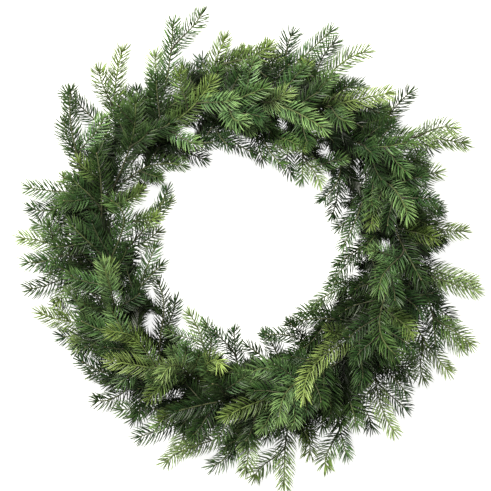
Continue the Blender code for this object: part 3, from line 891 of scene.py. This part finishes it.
def tube(points, first, second, radii, sides):
    """A surface of rings round a line of points: angle round it by place along it, a pole at each end.

    Each vertex is the line's point plus the radius there times the cosine of the angle on the first
    direction and its sine on the second.
    """
    turns = np.linspace(0.0, 2 * math.pi, sides, endpoint=False)[None, :, None]
    spokes = np.cos(turns) * first[:, None] + np.sin(turns) * second[:, None]
    rings = points[:, None] + radii[:, None, None] * spokes
    vertices = np.concatenate([rings.reshape(-1, 3), points[:1], points[-1:]])
    around = np.arange(sides)
    after = (around + 1) % sides
    rows = sides * np.arange(len(points) - 1)[:, None]
    low, low_next = rows + around, rows + after
    wall = np.stack([low, low_next, low_next + sides, low + sides], axis=-1).reshape(-1, 4)
    last = (len(points) - 1) * sides
    pole = len(vertices) - 2
    start_cap = np.stack([after, around, np.full(sides, pole)], axis=-1)
    end_cap = np.stack([last + around, last + after, np.full(sides, pole + 1)], axis=-1)
    return vertices, wall, start_cap, end_cap


def add_bark(shape, twig, tone):
    """The bark of a twig: a tapering tube that swells into the bud at its end."""
    start_radius, end_radius = BARK_RADII[twig.kind]
    bud_from = twig.length - BUD_PROFILE[0][0]
    stations = np.linspace(0.0, bud_from, max(3, round(bud_from / BARK_STEP)))
    back, bud_radii = np.array(BUD_PROFILE[1:]).T
    distances = np.concatenate([stations, twig.length - back])
    radii = np.concatenate([np.linspace(start_radius, end_radius, len(stations)), bud_radii])
    points, tangents, normals = places(twig.path, distances)
    vertices, wall, root_cap, end_cap = tube(points, normals, np.cross(tangents, normals), radii, BARK_SIDES)
    in_bud = np.concatenate([np.zeros(len(stations)), np.ones(len(back))])
    along = distances / twig.length
    ends = [0.0, 1.0]
    values = dict(tone)
    values["along"] = np.concatenate([np.repeat(along, BARK_SIDES), ends])
    values["bud"] = np.concatenate([np.repeat(in_bud, BARK_SIDES), ends])
    root_slot = 3 if twig.kind == "stem" else 2
    shape.add(vertices, [wall, root_cap, end_cap], [2, root_slot, 2], True, values)


def needle_stand(twig, foliage, rng):
    """Where a twig's needles stand: distance along it, angle round it, lean, length, in rows and a fan."""
    columns = []
    start = BARE_START[twig.kind]
    end = twig.length - BARE_END
    jitter = NEEDLE_VARIES["step"]
    rows = UNDER_ROWS if twig.kind == "under" else NEEDLE_ROWS
    for side, (around, lean, share, spread) in [(side, row) for row in rows for side in (1.0, -1.0)]:
        step = foliage.needle_spacing * spread
        distances = np.arange(start + step * rng.uniform(), end, step)
        distances = distances + step * rng.uniform(-jitter, jitter, len(distances))
        grown = np.clip((distances - start) / (end - start), 0.0, 1.0)
        leans = lean * np.interp(grown, *LEAN_GROWTH)
        shares = share * np.interp(grown, *NEEDLE_GROWTH)
        columns.append([distances, np.full(len(distances), side * around), leans, shares])
    fan = np.arange(TIP_FAN)
    turned = 360.0 / TIP_FAN * (fan + rng.uniform())
    fan_leans = rng.uniform(*TIP_LEANS, TIP_FAN)
    columns.append([end - TIP_STEP * fan, turned, fan_leans, rng.uniform(*TIP_SHARES, TIP_FAN)])
    distances, around, leans, shares = np.concatenate(columns, axis=1)
    count = len(distances)
    around = around + NEEDLE_VARIES["around"] * rng.uniform(-1.0, 1.0, count)
    leans = leans + NEEDLE_VARIES["lean"] * rng.uniform(-1.0, 1.0, count)
    shares = shares * (1.0 + NEEDLE_VARIES["length"] * rng.uniform(-1.0, 1.0, count))
    rolls = NEEDLE_VARIES["roll"] * rng.uniform(-1.0, 1.0, count)
    distances = np.clip(distances, start, twig.length)
    sizes = shares * foliage.needle_length * NEEDLE_SIZES[twig.kind] * PLACE_SIZES[twig.place]
    return distances, np.radians(around), np.radians(leans), sizes, np.radians(rolls)


def needle_faces(rings):
    """The corners of one needle's faces: its ridge's two sides, its base and its flat underside."""
    tip = 3 * rings
    k = np.arange(rings - 1)
    left, right, ridge = k, rings + k, 2 * rings + k
    right_side = np.stack([right, right + 1, ridge + 1, ridge], axis=-1)
    left_side = np.stack([ridge, ridge + 1, left + 1, left], axis=-1)
    under = np.stack([left, left + 1, right + 1, right], axis=-1)
    over_tip = np.array([[2 * rings - 1, tip, tip - 1], [tip - 1, tip, rings - 1], [0, rings, 2 * rings]])
    under_tip = np.array([[rings - 1, tip, 2 * rings - 1]])
    return [np.concatenate([right_side, left_side]), over_tip, under, under_tip]


def add_needles(shape, twig, foliage, tone, rng):
    """The needles of a twig: a flat three-sided section carried along a bent line and drawn to a point.

    A needle's middle line runs in the plane of the twig and the needle's direction round it. Its lean
    falls evenly from more than the row's to less, so that it bends forwards. The section is two edges
    half the width out to the sides and a ridge above.
    """
    distances, around, leans, sizes, rolls = needle_stand(twig, foliage, rng)
    points, tangents, normals = places(twig.path, distances)
    across = np.cross(tangents, normals)
    outwards = np.cos(around)[:, None] * normals + np.sin(around)[:, None] * across
    shares, widths = (UNDER_STATIONS if twig.kind == "under" else NEEDLE_STATIONS).T
    rings = len(shares) - 1
    middles = np.concatenate([[0.0], (shares[1:] + shares[:-1]) / 2])
    bends = leans[:, None] * np.interp(middles, [0.0, 1.0], NEEDLE_BEND)[None, :]
    forwards = np.cos(bends)[..., None] * tangents[:, None]
    directions = forwards + np.sin(bends)[..., None] * outwards[:, None]
    steps = np.diff(shares, prepend=0.0)[None, :, None] * sizes[:, None, None] * directions
    line = points[:, None] + np.cumsum(steps, axis=1)
    ups = unit(normals[:, None] - directions * (normals[:, None] * directions).sum(-1, keepdims=True))
    sideways = np.cross(directions, ups)
    turned_up = np.cos(rolls)[:, None, None] * ups + np.sin(rolls)[:, None, None] * sideways
    turned_side = np.cross(directions, turned_up)
    half = foliage.needle_width / 2 * widths[None, :rings, None]
    left = line[:, :rings] - half * turned_side[:, :rings]
    right = line[:, :rings] + half * turned_side[:, :rings]
    ridge = line[:, :rings] + 2 * RIDGE_SHARE * half * turned_up[:, :rings]
    vertices = np.concatenate([left, right, ridge, line[:, rings:]], axis=1).reshape(-1, 3)
    vertices[:, 2] = above_table(vertices[:, 2])
    count = len(distances)
    size = 3 * rings + 1
    first = size * np.arange(count)[:, None, None]
    faces = [(first + group).reshape(-1, group.shape[1]) for group in needle_faces(rings)]
    grown = distances / twig.length
    fresh_root, fresh_tip = tone["fresh"]
    fresh = fresh_root + (fresh_tip - fresh_root) * grown**2
    fresh = fresh + NEEDLE_FRESHNESS * rng.uniform(-1.0, 1.0, count)
    values = dict(tone)
    values["fresh"] = np.repeat(np.clip(fresh, 0.0, 1.0), size)
    # Each needle's brightness: its twig's tint, painted shade low inside the ring, and random tone
    shades = tone["shade"] * painted_shade(points) * rng.uniform(*NEEDLE_SHADES, count)
    values["shade"] = np.repeat(shades, size)
    values["along"] = np.tile(np.concatenate([np.tile(shares[:rings], 3), [1.0]]), count)
    values["bud"] = 0.0
    shape.add(vertices, faces, [0, 0, 1, 1], False, values)


def painted_shade(points):
    """Painted shade: how bright the needles that stand here are coloured, darker low down within the ring of
    foliage.
    """
    inside = np.interp(np.hypot(points[:, 0], points[:, 1]), *PAINTED_SHADE_REACHES)
    return 1.0 - PAINTED_SHADE_DEPTH * inside * np.interp(points[:, 2], *PAINTED_SHADE_HEIGHTS)


def above_table(heights):
    """Heights under TABLE_SOFT are squeezed towards TABLE_CLEAR, as needles that bend along a table."""
    room = TABLE_SOFT - TABLE_CLEAR
    squeezed = TABLE_CLEAR + room * np.exp(np.minimum(heights - TABLE_SOFT, 0.0) / room)
    return np.where(heights < TABLE_SOFT, squeezed, heights)


class Signal:
    """An output of a material's nodes. Arithmetic on it adds the Math nodes."""

    def __init__(self, tree, socket=None):
        self.tree = tree
        self.socket = socket

    def node(self, kind, settings=None, sockets=None, output=0):
        """Adds a node, with its settings first and then its sockets' values or links."""
        made = self.tree.nodes.new(kind)
        for name, value in (settings or {}).items():
            setattr(made, name, value)
        for name, value in (sockets or {}).items():
            if isinstance(value, Signal):
                self.tree.links.new(value.socket, made.inputs[name])
            else:
                made.inputs[name].default_value = value
        return Signal(self.tree, made.outputs[output])

    def maths(self, operation, *values):
        return self.node("ShaderNodeMath", {"operation": operation}, dict(enumerate(values)))

    def __add__(self, other):
        return self.maths("ADD", self, other)

    def __mul__(self, other):
        return self.maths("MULTIPLY", self, other)

    def __sub__(self, other):
        return self.maths("SUBTRACT", self, other)

    def __rsub__(self, other):
        return self.maths("SUBTRACT", other, self)

    def __pow__(self, other):
        return self.maths("POWER", self, other)

    __radd__ = __add__
    __rmul__ = __mul__

    def value(self, name):
        """The piece's own value of this name at each point."""
        return self.node("ShaderNodeAttribute", {"attribute_name": name}, output="Fac")

    def noise(self, scale, detail=2.0):
        """Soft noise of the object's own coordinates, from 0 to 1."""
        place = self.node("ShaderNodeTexCoord", output="Object")
        sockets = {"Vector": place, "Scale": scale, "Detail": detail}
        return self.node("ShaderNodeTexNoise", None, sockets)

    def clamped(self):
        return self.node("ShaderNodeClamp", None, {"Value": self})

    def tint(self, share, first, second):
        """Mixes two colours by a share."""
        sockets = {"Factor": share, 6: opaque(first), 7: opaque(second)}
        return self.node("ShaderNodeMix", {"data_type": "RGBA"}, sockets, output=2)

    def scaled(self, factor):
        """This colour, brighter or darker by a factor."""
        return self.node("ShaderNodeVectorMath", {"operation": "SCALE"}, {0: self, "Scale": factor})

    def bump(self, strength, distance):
        """A normal bent by this height."""
        sockets = {"Height": self, "Strength": strength, "Distance": distance}
        return self.node("ShaderNodeBump", None, sockets)


def opaque(colour):
    return colour if isinstance(colour, Signal) else (*colour, 1.0)


def new_material(name):
    """A material with one Principled shader, and a signal to build on."""
    made = bpy.data.materials.new(name)
    made.use_nodes = True
    return made, made.node_tree.nodes["Principled BSDF"], Signal(made.node_tree)


def connect(shader, links):
    for name, signal in links.items():
        signal.tree.links.new(signal.socket, shader.inputs[name])


@functools.lru_cache(maxsize=1)
def foliage_materials(colours):
    """The needles' upper and lower sides, the bark and the cut wood."""
    needles = [needle_finish(colours, under) for under in (False, True)]
    return [*needles, bark_finish(colours), cut_wood_finish(colours)]


def needle_finish(colours, under):
    """Waxy needles: deep green to blue green or fresh green by twig, paler to their ends and beneath."""
    material, shader, graph = new_material("needle_underside" if under else "needle")
    colour = graph.tint(graph.value("blue"), colours.deep_green, colours.blue_green)
    colour = graph.tint(graph.value("fresh"), colour, colours.fresh_green)
    paleness = graph.value("pale") * 0.6 + graph.value("along") ** 2.0 * 0.22 + (0.22 if under else 0.0)
    colour = graph.tint(paleness.clamped(), colour, colours.pale_green)
    mottle = graph.noise(NEEDLE_MOTTLE)
    # The shade value holds painted shade of low, inner needles and of the deep and under tints, and random
    # tone
    brightness = graph.value("shade") * (mottle * 0.6 + 0.7) * (graph.value("along") * 0.7 + 0.62)
    colour = colour.scaled(brightness)
    fine = graph.noise(NEEDLE_GRAIN, 3.0)
    shader.inputs["Specular IOR Level"].default_value = NEEDLE_SPECULAR
    connect(shader, {
        "Base Color": colour,
        "Roughness": mottle * 0.18 + (0.44 if under else 0.34),
        "Normal": fine.bump(0.25, 0.0002),
    })
    return material


def bark_finish(colours):
    """Bark that turns from rough brown at the root to smooth olive at the tip, with brown resinous buds."""
    material, shader, graph = new_material("bark")
    colour = graph.tint(graph.value("along"), colours.bark_brown, colours.bark_green)
    young = graph.value("fresh") * graph.value("along") ** 2.0
    colour = graph.tint(young, colour, colours.fresh_green)
    colour = graph.tint(graph.value("bud") * 0.7, colour, colours.bud_brown)
    scales = graph.noise(BARK_SCALES, 4.0)
    colour = colour.scaled(scales * 1.1 + 0.45)
    connect(shader, {
        "Base Color": colour,
        "Roughness": 0.85 - graph.value("bud") * 0.35 - scales * 0.1,
        "Normal": scales.bump(0.7, 0.0004),
    })
    return material


def cut_wood_finish(colours):
    """Pale cut wood with fine darker grain."""
    material, shader, graph = new_material("cut_wood")
    grain = graph.noise(WOOD_GRAIN, 3.0)
    connect(shader, {
        "Base Color": graph.tint(grain, colours.cut_wood, colours.bark_brown),
        "Roughness": grain * 0.2 + 0.65,
        "Normal": grain.bump(0.3, 0.0002),
    })
    return material


def wire_finish(colours):
    """Dark green enamel on steel wire, scuffed to duller metal in spots."""
    material, shader, graph = new_material("enamelled_wire")
    scuffs = ((graph.noise(WIRE_SCUFFS, 5.0) - 0.62) * 12.0).clamped()
    orange_peel = graph.noise(WIRE_PEEL)
    connect(shader, {
        "Base Color": graph.tint(scuffs * 0.7, colours.wire_green, STEEL),
        "Metallic": scuffs * 0.8,
        "Roughness": 0.32 + orange_peel * 0.12 + scuffs * 0.15,
        "Normal": orange_peel.bump(0.15, 0.0002),
    })
    return material


def rounded(points, times):
    """A path with its corners cut: each stretch is kept from a quarter to three quarters, so many times."""
    for _ in range(times):
        near_start = 0.75 * points[:-1] + 0.25 * points[1:]
        near_end = 0.25 * points[:-1] + 0.75 * points[1:]
        cut = np.stack([near_start, near_end], axis=1).reshape(-1, 3)
        points = np.concatenate([points[:1], cut[1:-1], points[-1:]])
    return points


def make_ring():
    """The ring and its clamps as one welded piece.

    The ring is a torus: the angle round the wreath by the angle round the wire. Its distance from the
    axis is the ring's radius plus the wire's times the cosine of the second, and its height the sine.
    """
    shape = Shape()
    many, sides = RING_GRID
    row, column = np.meshgrid(np.arange(many), np.arange(sides), indexing="ij")
    turns = np.linspace(0.0, 2 * math.pi, many, endpoint=False)[row]
    wire = np.linspace(0.0, 2 * math.pi, sides, endpoint=False)[column]
    reach = RING_RADIUS + WIRE_THICKNESS / 2 * np.cos(wire)
    height = WIRE_THICKNESS / 2 * (1.0 + np.sin(wire))
    vertices = np.stack([reach * np.cos(turns), reach * np.sin(turns), height], axis=-1).reshape(-1, 3)
    next_row, next_column = (row + 1) % many, (column + 1) % sides
    corners = [(row, column), (next_row, column), (next_row, next_column), (row, next_column)]
    quads = np.stack([sides * r + c for r, c in corners], axis=-1).reshape(-1, 4)
    shape.add(vertices, [quads], [0], True, {"along": 0.0})
    for degrees in BUNCHES:
        add_clamp(shape, degrees)
    return shape.to_object("ring_and_clamps", [wire_finish(current("wreath_colours"))])


def add_clamp(shape, degrees):
    """A clamp: a tube in an upright plane, whose rings have one axis level and square to that plane."""
    stations, sides = CLAMP_GRID
    path = rounded(clamp_points(degrees), CLAMP_CUTS)
    points = read_path(path, np.linspace(0.0, lengths(path)[-1], stations))
    tangents = unit(np.gradient(points, axis=0))
    level = np.broadcast_to(heading(degrees, 90.0), points.shape)
    radii = np.full(stations, CLAMP_WIRE / 2)
    vertices, wall, start_cap, end_cap = tube(points, np.cross(level, tangents), -level, radii, sides)
    shape.add(vertices, [wall, start_cap, end_cap], [0, 0, 0], True, {"along": 0.0})


def dress_spray(number, clamp, place):
    """One cutting: its twigs' bark and needles in one piece, in place of its solid."""
    foliage = current("wreath_foliage")
    rng = np.random.default_rng([SEED, number, len(place)])
    shape = Shape()
    for twig in all_twigs(foliage.filler_spacing)[clamp, place]:
        fresh_root, fresh_tip, blue, pale, bright = TINTS[twig.tint]
        tone = {
            "fresh": (fresh_root, fresh_tip),
            "blue": blue + TWIG_BLUENESS * rng.uniform(0.0, 1.0 - blue),
            "pale": pale,
            "shade": bright * rng.uniform(*TWIG_SHADES),
        }
        add_bark(shape, twig, {**tone, "fresh": fresh_tip})
        add_needles(shape, twig, foliage, tone, rng)
    materials = foliage_materials(current("wreath_colours"))
    piece = shape.to_object(f"foliage_{number:02d}_{place}", materials)
    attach(piece, BODY)
    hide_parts(f"spray_{number:02d}_{place}")


class MakeFrame(bpy.types.Operator):
    """Make the wire ring with its clamps"""

    bl_idname = "wreath.make_frame"
    bl_label = "Wire frame"

    def execute(self, context):
        ring = make_ring()
        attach(ring, BODY)
        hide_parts("wire_frame")
        return {"FINISHED"}


class MakeSprays:
    """Makes the cuttings at one place in their clamps"""

    place = ""

    def execute(self, context):
        for number, clamp in enumerate(BUNCHES, 1):
            dress_spray(number, clamp, self.place)
        return {"FINISHED"}


class MakeOuterSprays(MakeSprays, bpy.types.Operator):
    """Make the cuttings that reach past the ring"""

    bl_idname = "wreath.make_outer_sprays"
    bl_label = "Outer sprays"
    place = "outer"


class MakeFrontSprays(MakeSprays, bpy.types.Operator):
    """Make the cuttings that stand up to the front"""

    bl_idname = "wreath.make_front_sprays"
    bl_label = "Front sprays"
    place = "front"


class MakeInnerSprays(MakeSprays, bpy.types.Operator):
    """Make the cuttings that border the hole"""

    bl_idname = "wreath.make_inner_sprays"
    bl_label = "Inner sprays"
    place = "inner"


def make_floor(studio):
    """A flat pale floor just under the wreath, a square of one face."""
    half = FLOOR_HALF_WIDTH
    corners = [(-half, -half), (half, -half), (half, half), (-half, half)]
    mesh = bpy.data.meshes.new("floor")
    mesh.from_pydata([(x, y, -FLOOR_DROP) for x, y in corners], [], [(0, 1, 2, 3)])
    floor = bpy.data.objects.new("floor", mesh)
    bpy.context.scene.collection.objects.link(floor)
    material, shader, _ = new_material("floor")
    shader.inputs["Base Color"].default_value = (*studio.floor_colour, 1.0)
    shader.inputs["Roughness"].default_value = FLOOR_ROUGHNESS
    shader.inputs["Emission Color"].default_value = (1.0, 1.0, 1.0, 1.0)
    shader.inputs["Emission Strength"].default_value = studio.floor_glow
    mesh.materials.append(material)


def make_light(name, place, width, power, colour):
    """A square soft light that faces the wreath."""
    lamp = bpy.data.lights.new(name, "AREA")
    lamp.energy = power
    lamp.size = width
    lamp.color = colour
    light = bpy.data.objects.new(name, lamp)
    bpy.context.scene.collection.objects.link(light)
    light.location = place
    light.rotation_euler = (-light.location).to_track_quat("-Z", "Y").to_euler()
    light.visible_camera = False


def make_camera(studio):
    """A camera that looks straight down on the wreath from far off, with +Y at the top of the picture."""
    lens = bpy.data.cameras.new("camera")
    lens.sensor_width = SENSOR_WIDTH
    lens.lens = SENSOR_WIDTH * (studio.camera_height - FOLIAGE_MIDDLE) / studio.view_width
    camera = bpy.data.objects.new("camera", lens)
    bpy.context.scene.collection.objects.link(camera)
    camera.location = (*VIEW_MIDDLE, studio.camera_height)
    bpy.context.scene.camera = camera


class MakeStage(bpy.types.Operator):
    """Make the floor, the lights and the camera"""

    bl_idname = "wreath.make_stage"
    bl_label = "Stage"

    def execute(self, context):
        studio = context.scene.wreath_studio
        make_floor(studio)
        make_light("key_light", *KEY_LIGHT, studio.key_power, studio.light_colour)
        make_light("fill_light", *FILL_LIGHT, studio.fill_power, studio.light_colour)
        make_camera(studio)
        world = bpy.data.worlds.new("studio")
        world.use_nodes = True
        sky = world.node_tree.nodes["Background"]
        sky.inputs["Color"].default_value = (*studio.light_colour, 1.0)
        sky.inputs["Strength"].default_value = studio.sky_strength
        context.scene.world = world
        context.scene.view_settings.view_transform = "Standard"
        return {"FINISHED"}


class WreathPanel(bpy.types.Panel):
    """The wreath's pieces, sizes and colours"""

    bl_idname = "VIEW3D_PT_wreath"
    bl_label = "Evergreen Wreath"
    bl_space_type = "VIEW_3D"
    bl_region_type = "UI"
    bl_category = "Wreath"

    def draw(self, context):
        for maker in OPERATORS:
            self.layout.operator(maker.bl_idname)
        for group in GROUPS:
            settings = getattr(context.scene, group)
            box = self.layout.box()
            for name in settings.__annotations__:
                box.prop(settings, name)


OPERATORS = [MakeFrame, MakeOuterSprays, MakeFrontSprays, MakeInnerSprays, MakeStage]
GROUPS = {"wreath_foliage": WreathFoliage, "wreath_colours": WreathColours, "wreath_studio": WreathStudio}


def register():
    for made in (*GROUPS.values(), *OPERATORS, WreathPanel):
        bpy.utils.register_class(made)
    for name, group in GROUPS.items():
        setattr(bpy.types.Scene, name, PointerProperty(type=group))


def unregister():
    for name in GROUPS:
        delattr(bpy.types.Scene, name)
    for made in reversed((*GROUPS.values(), *OPERATORS, WreathPanel)):
        bpy.utils.unregister_class(made)


def main():
    register()
    bpy.ops.wreath.make_frame()
    bpy.ops.wreath.make_outer_sprays()
    bpy.ops.wreath.make_front_sprays()
    bpy.ops.wreath.make_inner_sprays()
    bpy.ops.wreath.make_stage()


if __name__ == "__main__":
    main()
